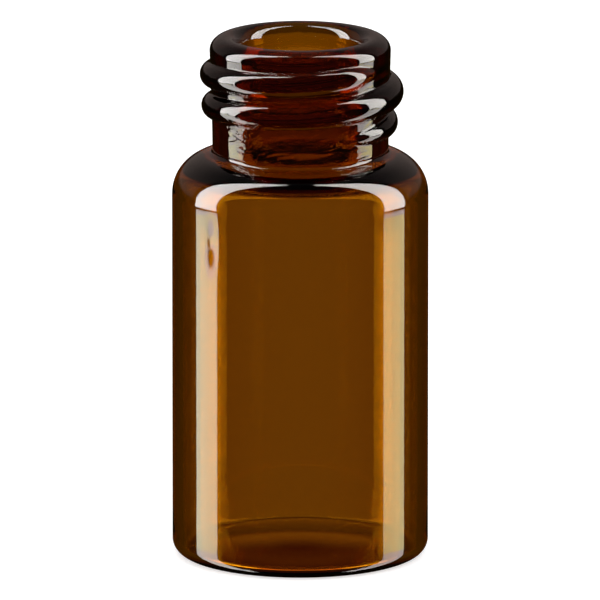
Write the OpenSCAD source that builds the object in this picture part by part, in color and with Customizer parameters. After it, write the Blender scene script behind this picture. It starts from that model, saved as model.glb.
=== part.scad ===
// Screw-neck sample vial, formed as one piece from amber glass tube.
// Millimetres. The origin is the centre of the circle that the base stands on, with +Z up to the mouth.

/* [Body] */
// Outer diameter of the body
body_d = 22; // [20:0.5:30]
// Height from the table to the top of the lip
overall_h = 45.3; // [38.3:0.5:80.3]
// Thickness of the body wall
wall_t = 0.9; // [0.8:0.1:1.6]
// Outer radius where the wall turns into the base
heel_r = 1.3; // [0.6:0.1:2]

/* [Base] */
// Thickness of the base at its edge
base_t = 0.7; // [0.5:0.1:2.5]
// Height that the underside is pushed up at its centre
punt_h = 1.1; // [0.2:0.1:1.2]
// Height that the floor inside rises to its centre
floor_rise = 0.9; // [0.8:0.1:1.5]
// Width of the flat ring that the vial stands on
stand_w = 0.6; // [0.4:0.1:3]
// Inner radius where the wall turns into the floor
floor_r = 0.5; // [0.4:0.1:3]

/* [Neck] */
// Outer diameter of the neck where it leaves the shoulder
neck_d = 14.94; // [14:0.1:17]
// Outer diameter of the neck just under the lip
lip_d = 15.54; // [14.6:0.1:17.6]
// Height of the neck above the top of the shoulder
neck_h = 10.2; // [9.6:0.1:16]
// Diameter of the bore through the neck
bore_d = 11.2; // [10.4:0.2:12]
// Diameter of the mouth, where the lip is rolled in
mouth_d = 10.2; // [8:0.2:10.4]
// Radius of the rounded edges of the lip
lip_round = 1.2; // [0.5:0.1:1.2]
// Thickness of the shoulder over the inside's flat ceiling
ceiling_t = 1.6; // [1:0.1:2]
// Inner radius where the wall turns into that ceiling
ceiling_r = 1.7; // [1:0.1:3]
// Radius of the edge where that ceiling turns up into the bore, if there is room for it
bore_foot = 2.4; // [0.5:0.1:2.7]
// Radius of the hollow corner where the neck meets the shoulder
neck_fillet = 0.4; // [0.2:0.1:0.8]

/* [Thread] */
// Outer diameter over the thread, on average
thread_d = 17; // [16.6:0.1:18.4]
// Rise of the thread in one turn
thread_pitch = 2.7; // [2.5:0.1:3.5]
// Width of the thread's round bead at its foot
bead_w = 2.4; // [1.6:0.1:2.4]
// Length of the thread, in turns
thread_turns = 2.1; // [1:0.1:2.2]
// Height of the thread's lower end above the top of the shoulder
thread_lift = 2.3; // [1.8:0.1:3]
// Direction of the thread's lower end, in degrees from +X towards +Y
thread_start = -66; // [-180:1:180]
// Angle over which each end of the thread fades into the neck
thread_fade = 40; // [20:5:90]

/* [Hidden] */
$fn = 96;

body_r = body_d / 2;
neck_r = neck_d / 2;
lip_r = lip_d / 2;
bore_r = bore_d / 2;
mouth_r = mouth_d / 2;

// The shoulder is a quarter round from the body in to the neck
shoulder_r = body_r - neck_r;
shoulder_top = overall_h - neck_h;
shoulder_z = shoulder_top - shoulder_r;
lip_z = overall_h - lip_round;

// The fillet's round touches the foot of the neck, and dips a hair into the shoulder's round
fillet_x = neck_r + neck_fillet;
fillet_dip = 0.03;
fillet_z = shoulder_z + sqrt(pow(shoulder_r + neck_fillet - fillet_dip, 2) - pow(neck_fillet, 2));

// The inside turns from the wall into a flat ceiling, and from there with a round up into the bore.
// A narrow ring of the ceiling always stays flat, so the two rounds never meet.
cavity_r = body_r - wall_t;
ceiling_z = shoulder_top - ceiling_t;
turn_z = ceiling_z - ceiling_r;
flat_ring = 0.1;
foot_r = min(bore_foot, cavity_r - ceiling_r - bore_r - flat_ring);
foot_dip = 0.03;
foot_x = bore_r + foot_r - foot_dip;
foot_z = ceiling_z + foot_r - foot_dip;

// The lip is rolled in: the mouth is straight for a short way under the lip's round, then widens to the bore
mouth_land = 0.5;
roll_h = 1.8;
roll_high = lip_z - mouth_land;
roll_low = roll_high - roll_h;

// Cuts run this far past the surface that they open
cut_over = 1;

// The thread was pressed by hand tools: its crest grows a little upwards, swells once and leans to one side
crest_gain = 0.28;
swell = 0.35;
swell_at = 426;
swell_deg = 110;
lean = 0.085;

// The bead is a ring of points round each step of the helix, with its back sunk in the neck. At its two ends
// it dips under the neck's skin and narrows to this share of its width.
bead_sides = 10;
ring_deg = 10;
bead_sink = 0.8;
end_sink = 0.15;
end_width = 0.6;
thread_deg = 360 * thread_turns;
thread_rings = ceil(thread_deg / ring_deg);

// Radius of a ball that is h high over a circle of radius r
function cap_radius(r, h) = (r * r + h * h) / (2 * h);

// Share of the bead's full height at angle a along the thread: 0 at each end, 1 once it has risen
function bead_share(a) =
    let (ramp = min(1, a / thread_fade, (thread_deg - a) / thread_fade))
    (1 - cos(180 * ramp)) / 2;

// Outer radius of the neck at height z
function neck_radius(z) =
    neck_r + (lip_r - neck_r) * (z - fillet_z) / (lip_z - fillet_z);

// One point of the bead: step i along the helix, side j round the bead from below, over its crest, to above
function bead_point(i, j) =
    let (a = thread_deg * i / thread_rings,
         dir = thread_start + a,
         turn = 180 * j / (bead_sides - 1),
         share = bead_share(a),
         more = swell * exp(-pow((a - swell_at) / swell_deg, 2)),
         crest_r = thread_d / 2 + crest_gain * (a / thread_deg - 0.5) + more,
         mid_z = shoulder_top + thread_lift + thread_pitch * a / 360 - lean * cos(dir),
         skin_r = neck_radius(mid_z),
         height = bead_sink - end_sink + (crest_r - skin_r + end_sink) * share,
         r = skin_r - bead_sink + height * sin(turn),
         z = mid_z - (bead_w + more) / 2 * cos(turn) * (end_width + (1 - end_width) * share))
    [r * cos(dir), r * sin(dir), z];

function side_face(i, j) =
    let (k = i * bead_sides,
         n = (j + 1) % bead_sides)
    [[k + j, k + bead_sides + n, k + bead_sides + j],
     [k + j, k + n, k + bead_sides + n]];

module thread() {
    points = [for (i = [0:thread_rings], j = [0:bead_sides - 1]) bead_point(i, j)];
    sides = [for (i = [0:thread_rings - 1], j = [0:bead_sides - 1], f = side_face(i, j)) f];
    first = [for (j = [bead_sides - 1:-1:0]) j];
    last = [for (j = [0:bead_sides - 1]) thread_rings * bead_sides + j];
    polyhedron(points = points, faces = concat([first], sides, [last]), convexity = 6);
}

// Half section of the outside, filled solid to the axis
module outer_profile() {
    square([body_r - heel_r, heel_r]);
    translate([body_r - heel_r, heel_r]) circle(heel_r);
    translate([0, heel_r]) square([body_r, shoulder_z - heel_r]);
    intersection() {
        translate([neck_r, shoulder_z]) circle(shoulder_r);
        translate([neck_r, shoulder_z]) square(shoulder_r);
    }
    translate([0, shoulder_z]) square([neck_r, fillet_z - shoulder_z]);
    difference() {
        translate([bore_r, shoulder_z]) square([fillet_x - bore_r - fillet_dip, fillet_z - shoulder_z]);
        translate([fillet_x, fillet_z]) circle(neck_fillet);
    }
    polygon([[0, fillet_z], [neck_r, fillet_z], [lip_r, lip_z], [0, lip_z]]);
    translate([0, lip_z]) square([lip_r - lip_round, lip_round]);
    translate([lip_r - lip_round, lip_z]) circle(lip_round);
}

// Half section of the space inside, from the floor to the rolled-in mouth
module inner_profile() {
    difference() {
        union() {
            translate([0, base_t]) square([cavity_r - floor_r, floor_r]);
            translate([cavity_r - floor_r, base_t + floor_r]) circle(floor_r);
            translate([0, base_t + floor_r]) square([cavity_r, turn_z - base_t - floor_r]);
            translate([0, turn_z]) square([cavity_r - ceiling_r, ceiling_r]);
            intersection() {
                translate([cavity_r - ceiling_r, turn_z]) circle(ceiling_r);
                translate([cavity_r - ceiling_r, turn_z]) square(ceiling_r);
            }
            translate([0, turn_z]) square([bore_r, roll_low - turn_z]);
            polygon([[0, roll_low], [bore_r, roll_low], [mouth_r, roll_high], [0, roll_high]]);
            translate([0, roll_high]) square([mouth_r, overall_h - roll_high + cut_over]);
        }
        push_up(cavity_r - floor_r, base_t, floor_rise);
    }
    difference() {
        translate([0, turn_z]) square([foot_x, foot_z - turn_z]);
        translate([foot_x, foot_z]) circle(foot_r);
    }
    difference() {
        translate([mouth_r, lip_z]) square([lip_round, lip_round + cut_over]);
        translate([mouth_r + lip_round, lip_z]) circle(lip_round);
    }
}

// Half section of the low dome that rises from height z at radius r to its centre
module push_up(r, z, rise) {
    ball_r = cap_radius(r, rise);
    intersection() {
        translate([0, z + rise - ball_r]) circle(ball_r);
        translate([0, z]) square([r, rise + cut_over]);
    }
}

module vial() {
    color([0.42, 0.21, 0.03, 0.85])
    union() {
        rotate_extrude() difference() {
            outer_profile();
            inner_profile();
            push_up(body_r - heel_r - stand_w, 0, punt_h);
        }
        thread();
    }
}

vial();
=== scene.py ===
"""An amber glass sample vial with a screw neck, standing in a plain white studio."""

import math

import bpy
import numpy as np
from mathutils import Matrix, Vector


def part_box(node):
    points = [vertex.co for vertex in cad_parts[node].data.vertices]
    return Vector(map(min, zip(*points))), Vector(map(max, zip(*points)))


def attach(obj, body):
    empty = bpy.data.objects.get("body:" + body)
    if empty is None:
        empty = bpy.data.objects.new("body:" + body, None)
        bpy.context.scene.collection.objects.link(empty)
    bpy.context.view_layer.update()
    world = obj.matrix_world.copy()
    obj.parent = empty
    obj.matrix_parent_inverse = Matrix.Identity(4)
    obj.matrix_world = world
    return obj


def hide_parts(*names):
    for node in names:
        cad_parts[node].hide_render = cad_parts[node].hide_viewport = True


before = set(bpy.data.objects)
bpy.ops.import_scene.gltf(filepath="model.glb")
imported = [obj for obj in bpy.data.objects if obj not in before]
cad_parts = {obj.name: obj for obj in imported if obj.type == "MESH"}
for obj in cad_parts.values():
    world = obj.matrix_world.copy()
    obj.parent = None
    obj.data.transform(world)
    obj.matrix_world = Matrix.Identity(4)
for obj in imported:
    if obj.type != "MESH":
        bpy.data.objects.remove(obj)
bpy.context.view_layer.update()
scene = bpy.context.scene


# ---- The glass vial ----
# One piece of amber tube glass. The tube's end was softened and rolled into the shoulder, the neck with its
# round thread and the fire-polished lip, and the other end was sealed to make the slightly pushed-up base.

MM = 0.001
vial_low, vial_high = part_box("vial")
body_r = (vial_high[0] - vial_low[0]) / 2
height = vial_high[2]
wall = 0.9 * MM
heel_r = 1.3 * MM

base_t = 0.7 * MM
punt_h = 1.1 * MM
floor_rise = 0.9 * MM
stand_width = 0.6 * MM
floor_r = 0.5 * MM

neck_r = 7.47 * MM
lip_r = 7.77 * MM
neck_h = 10.2 * MM
neck_fillet = 0.4 * MM
lip_round = 1.2 * MM
lip_width = 1.35 * MM
bore_r = 5.6 * MM
mouth_r = 5.1 * MM
mouth_land = 0.5 * MM
roll_h = 1.8 * MM
ceiling_t = 1.6 * MM
ceiling_r = 1.7 * MM
bore_foot = 2.4 * MM

thread_r = 8.36 * MM
thread_pitch = 2.7 * MM
thread_width = 2.15 * MM
thread_turns = 2.1
thread_lift = 2.3 * MM
thread_start = -66.0
crest_gain = 0.28 * MM
swell_height = 0.35 * MM
swell_width = 0.45 * MM
swell_at = 426.0
swell_reach = 110.0
lean = 0.085 * MM
low_share = 0.1
low_fade = 80.0
high_fade = 32.0
end_width = 0.4
end_drop = 1.2
bead_hollow = 0.06 * MM

skin_slack = 0.1 * MM
stroke_rise, stroke_turn = 12, 34
stroke_depth = 0.004 * MM
wave_depth = 0.004 * MM
wave_tall, wave_turn = 5.65, 14.8
wave_rise = 0.9 * MM
wave_reach = 1.1 * MM
rough_depth = 0.026 * MM
rough_place = (-134, 38.2)
rough_reach = (0.2, 1.6)
dent_depth = 0.075 * MM
dent_place = (-134, 28.9)
dent_reach = (0.041, 1.7)

shoulder_r = body_r - neck_r
shoulder_top = height - neck_h
shoulder_z = shoulder_top - shoulder_r
lip_z = height - lip_round
foot_z = shoulder_z + math.sqrt((shoulder_r + neck_fillet) ** 2 - neck_fillet**2)
cavity_r = body_r - wall
ceiling_z = shoulder_top - ceiling_t
roll_high = lip_z - mouth_land
roll_low = roll_high - roll_h


def arc(r, z, radius, start, stop, steps, stretch=1):
    """Points on a circle about (r, z) from start to stop in degrees: its radius, stretched along r."""
    angle = np.radians(np.linspace(start, stop, steps))
    return np.column_stack([r + stretch * radius * np.cos(angle), z + radius * np.sin(angle)])


def line(r0, z0, r1, z1, steps):
    """Points spaced evenly on the straight line from (r0, z0) to (r1, z1), without its two ends."""
    share = np.linspace(0, 1, steps + 2)[1:-1]
    return np.column_stack([r0 + (r1 - r0) * share, z0 + (z1 - z0) * share])


def ease(r0, z0, r1, z1, steps):
    """Points from (r0, z0) to (r1, z1): z runs evenly and r follows half a cosine, upright at both ends."""
    share = np.linspace(0, 1, steps)
    return np.column_stack([r0 + (r1 - r0) * (1 - np.cos(math.pi * share)) / 2, z0 + (z1 - z0) * share])


def dome(radius, rise, z, steps):
    """A low dome, from near the axis out to its radius: z + rise * (1 - (r / radius) squared)."""
    r = radius * np.linspace(0, 1, steps + 1)[1:]
    return np.column_stack([r, z + rise * (1 - (r / radius) ** 2)])


def outer_profile():
    """The outside: pushed-up underside, heel, wall, quarter-round shoulder, hollow fillet, neck and lip."""
    tangent = math.degrees(math.atan2(foot_z - shoulder_z, neck_fillet))
    return np.vstack([
        dome(body_r - heel_r - stand_width, punt_h, 0.0, 14),
        arc(body_r - heel_r, heel_r, heel_r, -90, 0, 12),
        line(body_r, heel_r, body_r, shoulder_z, 60),
        arc(neck_r, shoulder_z, shoulder_r, 0, tangent, 22),
        arc(neck_r + neck_fillet, foot_z, neck_fillet, 180 + tangent, 180, 7)[1:],
        line(neck_r, foot_z, lip_r, lip_z, 96),
        arc(lip_r - lip_width, lip_z, lip_round, 0, 90, 12, lip_width / lip_round),
    ])


def inner_profile():
    """The inside: rolled-in mouth, bore, its rounded foot, flat ceiling, wall and risen floor."""
    return np.vstack([
        arc(mouth_r + lip_round, lip_z, lip_round, 90, 180, 12),
        ease(mouth_r, roll_high, bore_r, roll_low, 14),
        line(bore_r, roll_low, bore_r, ceiling_z + bore_foot, 30),
        arc(bore_r + bore_foot, ceiling_z + bore_foot, bore_foot, 180, 270, 8),
        line(bore_r + bore_foot, ceiling_z, cavity_r - ceiling_r, ceiling_z, 4),
        arc(cavity_r - ceiling_r, ceiling_z - ceiling_r, ceiling_r, 90, 0, 20),
        line(cavity_r, ceiling_z - ceiling_r, cavity_r, base_t + floor_r, 8),
        arc(cavity_r - floor_r, base_t + floor_r, floor_r, 0, -90, 10),
        dome(cavity_r - floor_r, floor_rise, base_t, 14)[::-1],
    ])


def thread_bead(angle, z):
    """Height of the thread over the neck: a circular cap carried up a right-hand helix.

    The crest's radius is thread_r, plus crest_gain over its length, plus a swell that follows a bell curve.
    Each end sinks under the neck along a quarter sine wave, and a small hollow softens the bead's edge.
    """
    bead = np.zeros(np.broadcast(angle, z).shape)
    length = 360 * thread_turns
    skin = neck_r + (lip_r - neck_r) * (z - foot_z) / (lip_z - foot_z)
    base_z = shoulder_top + thread_lift - lean * np.cos(np.radians(angle))
    for turn in range(3):
        along = (angle - thread_start) % 360 + 360 * turn
        off = z - base_z - thread_pitch * along / 360
        swell = np.exp(-(((along - swell_at) / swell_reach) ** 2))
        crest = thread_r + crest_gain * along / length + swell_height * swell - skin
        half = (thread_width + swell_width * swell) / 2
        cap_r = (half**2 + crest**2) / (2 * crest)
        rise = np.sin(np.clip(low_share + along / low_fade, 0, 1) * math.pi / 2)
        fall = np.sin(np.clip((length - along) / high_fade, 0, 1) * math.pi / 2)
        share = np.where(along < length, rise * fall, 0)
        narrow = end_width + (1 - end_width) * share
        cap = np.sqrt(np.maximum(cap_r**2 - (off / narrow) ** 2, 0)) - (cap_r - crest)
        cap = cap - end_drop * crest * (1 - share)
        bead = np.maximum(bead, (cap + np.sqrt(cap**2 + bead_hollow**2)) / 2 * (cap > -3 * bead_hollow))
    return bead


def patch(turn, tall, place, reach):
    """A bell-shaped patch: exp(-square) of the way from its place, divided by its reach.

    Each is a pair of an angle and a height in millimetres. The place's angle is in degrees, the reach's
    in radians.
    """
    apart = (turn - math.radians(place[0]) + math.pi) % (2 * math.pi) - math.pi
    return np.exp(-((apart / reach[0]) ** 2) - ((tall - place[1]) / reach[1]) ** 2)


def forming_marks(angle, r, z):
    """Marks of the forming tools, as small changes of radius.

    The neck has slanting strokes (sines of height less turn) in patches, with a rougher spot at its front
    left. The bore's rounded foot has strokes of about the same slant, and a small dent sits high on the
    body.
    """
    turn = np.radians(angle)
    tall = z / MM
    on_neck = (z > foot_z) & (z < lip_z) & (r > neck_r - skin_slack)
    slant = stroke_rise * tall - stroke_turn * turn + 1.3 * np.sin(13 * turn + 0.8 * tall)
    strokes = np.sin(slant) + 0.5 * np.sin(1.7 * slant + 23 * turn)
    strokes = strokes * (0.5 + 0.5 * np.sin(7 * turn + 0.9 * tall + 1.0))
    rough = np.sin(61 * turn + 2 * np.sin(5 * tall)) * np.sin(6.5 * tall + 2 * np.sin(23 * turn))
    rough = rough * patch(turn, tall, rough_place, rough_reach)
    marks = np.where(on_neck, stroke_depth * strokes + rough_depth * rough, 0)

    at_foot = (r > bore_r - 2 * skin_slack) & (r < neck_r - 3 * skin_slack) & (z > ceiling_z)
    slant = wave_tall * tall - wave_turn * turn
    waves = np.sin(slant / 0.75 + 1.4 * np.sin(7 * turn)) + 0.7 * np.sin(slant / 0.47 + 9 * turn)
    waves = waves * np.exp(-(((z - ceiling_z - wave_rise) / wave_reach) ** 2))
    marks = marks + np.where(at_foot, wave_depth * waves, 0)

    dent = patch(turn, tall, dent_place, dent_reach) * (r > body_r - skin_slack)
    return marks - dent_depth * dent


def vial_surface(profile, columns):
    """The profile turned about Z: each point is (r cos a, r sin a, z), with thread and marks added to r."""
    angle = np.linspace(0, 360, columns, endpoint=False)[None, :]
    r = profile[:, :1]
    z = profile[:, 1:]
    on_neck = (z > foot_z) & (z < lip_z) & (r > neck_r)
    r = r + np.where(on_neck, thread_bead(angle, z), 0) + forming_marks(angle, r, z)
    turn = np.radians(angle)
    return np.stack([r * np.cos(turn), r * np.sin(turn), z + 0 * r], axis=-1)


def closed_faces(rows, columns):
    """Quads between neighbouring rows and columns, and a fan of triangles to the pole at each end."""
    row = np.arange(rows - 1)[:, None] * columns
    near = np.arange(columns)[None, :]
    far = (near + 1) % columns
    quads = np.stack([row + near, row + far, row + columns + far, row + columns + near], axis=-1)
    low, high = rows * columns, rows * columns + 1
    last = (rows - 1) * columns
    first_fan = np.stack([low + 0 * near, far, near], axis=-1).reshape(-1, 3)
    last_fan = np.stack([high + 0 * near, last + near, last + far], axis=-1).reshape(-1, 3)
    return quads.reshape(-1, 4).tolist() + first_fan.tolist() + last_fan.tolist()


def amber_glass():
    """Clear glass that soaks up all blue and much green: a thin wall is brown and the thick neck is red."""
    material = bpy.data.materials.new("amber_glass")
    material.use_nodes = True
    nodes, links = material.node_tree.nodes, material.node_tree.links
    surface = nodes["Principled BSDF"]
    surface.inputs["Base Color"].default_value = (1, 1, 1, 1)
    surface.inputs["Transmission Weight"].default_value = 1.0
    surface.inputs["Roughness"].default_value = 0.0
    surface.inputs["IOR"].default_value = 1.52
    body = nodes.new("ShaderNodeVolumeAbsorption")
    body.inputs["Color"].default_value = (0.8333, 0.6733, 0.0, 1)
    body.inputs["Density"].default_value = 3000
    links.new(body.outputs["Volume"], nodes["Material Output"].inputs["Volume"])
    return material


profile = np.vstack([outer_profile(), inner_profile()[1:]])
columns = 288
points = vial_surface(profile, columns).reshape(-1, 3)
poles = np.array([[0, 0, punt_h], [0, 0, base_t + floor_rise]])
vial_mesh = bpy.data.meshes.new("amber_vial")
vial_mesh.from_pydata(np.vstack([points, poles]), [], closed_faces(len(profile), columns))
vial_mesh.polygons.foreach_set("use_smooth", np.ones(len(vial_mesh.polygons), dtype=bool))
vial_mesh.materials.append(amber_glass())
vial = bpy.data.objects.new("amber_vial", vial_mesh)
scene.collection.objects.link(vial)
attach(vial, "root")
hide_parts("vial")


# ---- The floor ----
# A pale matt sheet that glows a little. It shows white with the vial's soft shadow, and light grey far out
# at both sides, so that the rim's highlights stand out in a side view. The studio's light reaches the glass
# through it from below, with painted shade on the way: rings darkest at the axis and where the vial stands,
# lighter between, and darker under the front half.

floor_half = 15.0
pale = (0.8, 0.8, 0.8, 1)
glow = 0.6
pale_side = (0.66, 0.66, 0.66, 1)
side_from, side_to = 40 * MM, 120 * MM
# Painted shade on light through the floor: rings dark at the axis and at the vial's stand, lighter between.
painted_shade_rings = [
    (1.0 * MM, (0.36, 0.18, 0.15, 1)),
    (3.2 * MM, (0.62, 0.50, 0.40, 1)),
    (6.1 * MM, (0.85, 0.80, 0.75, 1)),
    (9.3 * MM, (0.38, 0.20, 0.15, 1)),
    (9.7 * MM, (0.38, 0.20, 0.15, 1)),
    (10.6 * MM, (1, 1, 1, 1)),
]
# Painted shadow under the front half of the vial, out to its standing edge.
painted_front_shade = (0.50, 0.33, 0.28, 1)
front_to, back_after = -1.5 * MM, 3 * MM
painted_shade_reach = 16 * MM
stand_edge = 9.5 * MM


def painted_floor_shade(nodes, links):
    """Painted shade on the light let through: rings by the distance from the axis, darker under the front
    half.
    """
    place = nodes.new("ShaderNodeTexCoord")
    reach = nodes.new("ShaderNodeVectorMath")
    reach.operation = "LENGTH"
    links.new(place.outputs["Object"], reach.inputs[0])
    share = nodes.new("ShaderNodeMath")
    share.operation = "DIVIDE"
    share.inputs[1].default_value = painted_shade_reach
    links.new(reach.outputs["Value"], share.inputs[0])
    rings = nodes.new("ShaderNodeValToRGB")
    rings.color_ramp.interpolation = "EASE"
    for number, (distance, colour) in enumerate(painted_shade_rings):
        if number > 1:
            rings.color_ramp.elements.new(distance / painted_shade_reach)
        rings.color_ramp.elements[number].position = distance / painted_shade_reach
        rings.color_ramp.elements[number].color = colour
    links.new(share.outputs[0], rings.inputs[0])

    apart = nodes.new("ShaderNodeSeparateXYZ")
    links.new(place.outputs["Object"], apart.inputs[0])
    back = nodes.new("ShaderNodeMapRange")
    back.interpolation_type = "SMOOTHSTEP"
    back.inputs["From Min"].default_value = front_to
    back.inputs["From Max"].default_value = back_after
    links.new(apart.outputs["Y"], back.inputs["Value"])
    beyond = nodes.new("ShaderNodeMath")
    beyond.operation = "GREATER_THAN"
    beyond.inputs[1].default_value = stand_edge
    links.new(reach.outputs["Value"], beyond.inputs[0])
    plain = nodes.new("ShaderNodeMath")
    plain.operation = "MAXIMUM"
    links.new(back.outputs["Result"], plain.inputs[0])
    links.new(beyond.outputs[0], plain.inputs[1])
    front = nodes.new("ShaderNodeMix")
    front.data_type = "RGBA"
    front.inputs["A"].default_value = painted_front_shade
    front.inputs["B"].default_value = (1, 1, 1, 1)
    links.new(plain.outputs[0], front.inputs["Factor"])

    both = nodes.new("ShaderNodeMix")
    both.data_type = "RGBA"
    both.blend_type = "MULTIPLY"
    both.inputs["Factor"].default_value = 1
    links.new(rings.outputs["Color"], both.inputs["A"])
    links.new(front.outputs["Result"], both.inputs["B"])
    return both.outputs["Result"]


def pale_floor():
    """Matt pale sheet with a glow that fades to both sides; rays off the glass pass it through painted
    shade.
    """
    material = bpy.data.materials.new("pale_floor")
    material.use_nodes = True
    nodes, links = material.node_tree.nodes, material.node_tree.links
    nodes.clear()
    place = nodes.new("ShaderNodeTexCoord")
    apart = nodes.new("ShaderNodeSeparateXYZ")
    links.new(place.outputs["Object"], apart.inputs[0])
    sideways = nodes.new("ShaderNodeMath")
    sideways.operation = "ABSOLUTE"
    links.new(apart.outputs["X"], sideways.inputs[0])
    side = nodes.new("ShaderNodeMapRange")
    side.interpolation_type = "SMOOTHSTEP"
    side.inputs["From Min"].default_value = side_from
    side.inputs["From Max"].default_value = side_to
    links.new(sideways.outputs[0], side.inputs["Value"])
    sheet_colour = nodes.new("ShaderNodeMix")
    sheet_colour.data_type = "RGBA"
    sheet_colour.inputs["A"].default_value = pale
    sheet_colour.inputs["B"].default_value = pale_side
    links.new(side.outputs["Result"], sheet_colour.inputs["Factor"])
    fading = nodes.new("ShaderNodeMath")
    fading.operation = "MULTIPLY_ADD"
    fading.inputs[1].default_value = -glow
    fading.inputs[2].default_value = glow
    links.new(side.outputs["Result"], fading.inputs[0])
    matt = nodes.new("ShaderNodeBsdfDiffuse")
    links.new(sheet_colour.outputs["Result"], matt.inputs["Color"])
    shine = nodes.new("ShaderNodeEmission")
    links.new(fading.outputs[0], shine.inputs["Strength"])
    sheet = nodes.new("ShaderNodeAddShader")
    links.new(matt.outputs[0], sheet.inputs[0])
    links.new(shine.outputs[0], sheet.inputs[1])
    clear = nodes.new("ShaderNodeBsdfTransparent")
    links.new(painted_floor_shade(nodes, links), clear.inputs["Color"])
    path = nodes.new("ShaderNodeLightPath")
    through = nodes.new("ShaderNodeMath")
    through.operation = "MAXIMUM"
    links.new(path.outputs["Is Glossy Ray"], through.inputs[0])
    links.new(path.outputs["Is Transmission Ray"], through.inputs[1])
    mix = nodes.new("ShaderNodeMixShader")
    links.new(through.outputs[0], mix.inputs[0])
    links.new(sheet.outputs[0], mix.inputs[1])
    links.new(clear.outputs[0], mix.inputs[2])
    out = nodes.new("ShaderNodeOutputMaterial")
    links.new(mix.outputs[0], out.inputs["Surface"])
    return material


floor_mesh = bpy.data.meshes.new("floor")
corners = [(-1, -1, 0), (1, -1, 0), (1, 1, 0), (-1, 1, 0)]
floor_mesh.from_pydata((floor_half * np.array(corners)).tolist(), [], [(0, 1, 2, 3)])
floor_mesh.materials.append(pale_floor())
floor = bpy.data.objects.new("floor", floor_mesh)
scene.collection.objects.link(floor)


# ---- The studio ----
# A white surround for the camera. For the glass it is a dim room with a tall strip lamp at each side, made
# of an upper and a lower tube, the lower one with a warm band near its top, and a brown backdrop behind.

lamp_turn = 4.5
lamp_half = 13.4
upper_from, upper_to = -8, 82
lower_from, lower_to = -68, -11
upper_left = (11.5, 11.2, 11.0)
upper_right = (10.2, 9.8, 9.4)
lower_left = (6.0, 5.8, 5.6)
lower_right = (4.6, 4.3, 4.2)
band_from, band_to = -13.9, -12.1
band_left = (7.3, 6.9, 4.75)
band_right = (6.1, 5.3, 2.6)

backdrop = (0.345, 0.243, 0.20)
backdrop_thin = (0.52, 0.56, 0.30)
thin_faces = 2.5
backdrop_side = 78
side_share = 0.45
backdrop_low, backdrop_high = -22, 10
steep_share = 0.35

dark = (0.012, 0.012, 0.012)
sheen_low = (0.012, 0.006, 0.001)
sheen_rim = (0.20, 0.155, 0.14)
sheen_top = (0.05, 0.05, 0.05)
rim_from, rim_to = 3, 40

deep_dark = (0.16, 0.04, 0.03)
back_from = 24
back_top = 22
back_side = (0.18, 0.16, 0.13)
back_middle = (0.50, 0.33, 0.28)
middle_from = 76
table_top = -24
table_front = (2.6, 1.15, 1.0)
table_back = (0.16, 0.14, 0.12)


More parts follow.
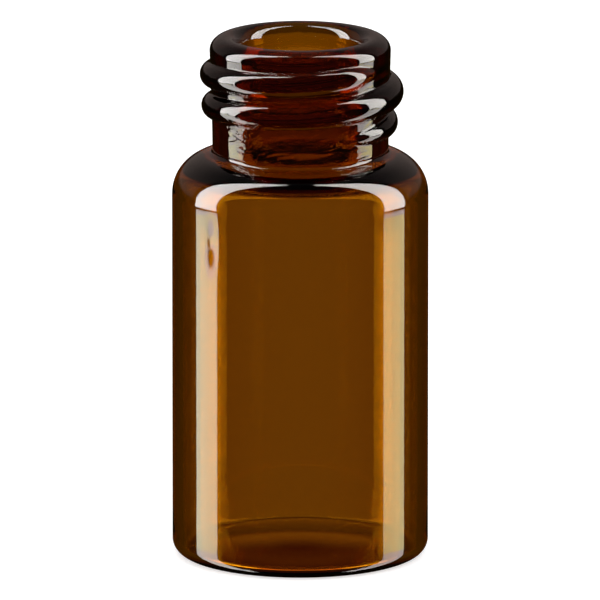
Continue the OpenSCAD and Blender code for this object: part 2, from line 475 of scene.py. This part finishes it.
def studio_light(tree):
    """Light by direction and by the ray's way through the glass.

    A ray's turn is its angle from the side towards the back, and its rise its angle over the table. A ray
    that the glass mirrored sees the lamps and the dim room, and one that only went through sees the
    backdrop. Rays that never met the glass see plain white.
    """
    nodes, links = tree.nodes, tree.links
    nodes.clear()

    def maths(operation, *values):
        """One math node, with numbers set on its sockets and sockets linked to them."""
        node = nodes.new("ShaderNodeMath")
        node.operation = operation
        for socket, value in zip(node.inputs, values):
            if isinstance(value, (int, float)):
                socket.default_value = value
            else:
                links.new(value, socket)
        return node.outputs[0]

    def under(value, edge, soft):
        """1 where the angle is under the edge and 0 over it, in degrees, with a step that is soft wide."""
        node = nodes.new("ShaderNodeMapRange")
        node.interpolation_type = "SMOOTHSTEP"
        links.new(value, node.inputs["Value"])
        node.inputs["From Min"].default_value = math.radians(edge - soft)
        node.inputs["From Max"].default_value = math.radians(edge + soft)
        node.inputs["To Min"].default_value = 1
        node.inputs["To Max"].default_value = 0
        return node.outputs["Result"]

    def over(value, edge, soft):
        """1 where the angle is over the edge, and 0 under it."""
        return maths("SUBTRACT", 1, under(value, edge, soft))

    def both(first, second):
        """The product of two shares: 1 only where both are 1."""
        return maths("MULTIPLY", first, second)

    def blend(share, low, high):
        """The colour low where the share is 0 and the colour high where it is 1."""
        node = nodes.new("ShaderNodeMix")
        node.data_type = "RGBA"
        links.new(share, node.inputs["Factor"])
        for socket, value in ((node.inputs["A"], low), (node.inputs["B"], high)):
            if isinstance(value, tuple):
                socket.default_value = (*value, 1)
            else:
                links.new(value, socket)
        return node.outputs["Result"]

    way = nodes.new("ShaderNodeTexCoord")
    split = nodes.new("ShaderNodeSeparateXYZ")
    links.new(way.outputs["Generated"], split.inputs[0])
    turn = maths("ARCTAN2", split.outputs["Y"], maths("ABSOLUTE", split.outputs["X"]))
    rise = maths("ARCSINE", split.outputs["Z"])
    right = maths("GREATER_THAN", split.outputs["X"], 0)
    behind = over(turn, back_from, 3)
    path = nodes.new("ShaderNodeLightPath")

    rim = both(over(rise, rim_from, 3), under(rise, rim_to, 20))
    sheen = blend(rim, blend(under(rise, rim_from, 3), sheen_top, sheen_low), sheen_rim)
    sheen = blend(behind, dark, sheen)

    low = under(rise, back_top, 4)
    deep = blend(both(behind, low), deep_dark, back_side)
    deep = blend(both(over(turn, middle_from, 4), low), deep, back_middle)
    deep = blend(under(rise, table_top, 5), deep, blend(behind, table_front, table_back))

    entered = maths("GREATER_THAN", path.outputs["Transmission Depth"], 0.5)
    across = under(maths("ABSOLUTE", maths("SUBTRACT", turn, math.radians(lamp_turn))), lamp_half, 0.8)
    upper = both(across, both(over(rise, upper_from, 1), under(rise, upper_to, 3)))
    lower = both(across, both(over(rise, lower_from, 3), under(rise, lower_to, 0.6)))
    band = both(across, both(over(rise, band_from, 0.2), under(rise, band_to, 0.2)))
    room = blend(entered, sheen, deep)
    room = blend(lower, room, blend(right, lower_left, lower_right))
    room = blend(band, room, blend(right, band_left, band_right))
    room = blend(upper, room, blend(right, upper_left, upper_right))

    thin = maths("LESS_THAN", path.outputs["Transmission Depth"], thin_faces)
    steep = maths("MAXIMUM", over(rise, backdrop_high, 5), under(rise, backdrop_low, 3))
    side = maths("MULTIPLY", under(turn, backdrop_side, 4), 1 - side_share)
    dim = maths("MAXIMUM", side, maths("MULTIPLY", steep, 1 - steep_share))
    straight = blend(dim, blend(thin, backdrop, backdrop_thin), (0.0, 0.0, 0.0))

    mirrored = maths("GREATER_THAN", path.outputs["Glossy Depth"], 0.5)
    seen = blend(path.outputs["Is Glossy Ray"], (1, 1, 1), blend(mirrored, straight, room))
    back = nodes.new("ShaderNodeBackground")
    links.new(seen, back.inputs["Color"])
    out = nodes.new("ShaderNodeOutputWorld")
    links.new(back.outputs[0], out.inputs["Surface"])


world = bpy.data.worlds.new("studio")
scene.world = world
world.use_nodes = True
studio_light(world.node_tree)
scene.view_settings.view_transform = "Standard"


# ---- The camera ----
# It stands in front of the vial and a little above it, and looks at the middle of its height. Its long lens
# keeps the vial's sides upright and parallel.

camera_distance = 1.4
camera_rise = math.radians(12.58)
camera_aim = (-0.00002, 0.0, 0.02216)

camera_data = bpy.data.cameras.new("camera")
camera_data.lens = 978.2
camera_data.sensor_width = 36
camera_data.clip_end = 100
camera = bpy.data.objects.new("camera", camera_data)
scene.collection.objects.link(camera)
camera.location = (
    camera_aim[0],
    camera_aim[1] - camera_distance * math.cos(camera_rise),
    camera_aim[2] + camera_distance * math.sin(camera_rise),
)
camera.rotation_euler = (math.pi / 2 - camera_rise, 0, 0)
scene.camera = camera
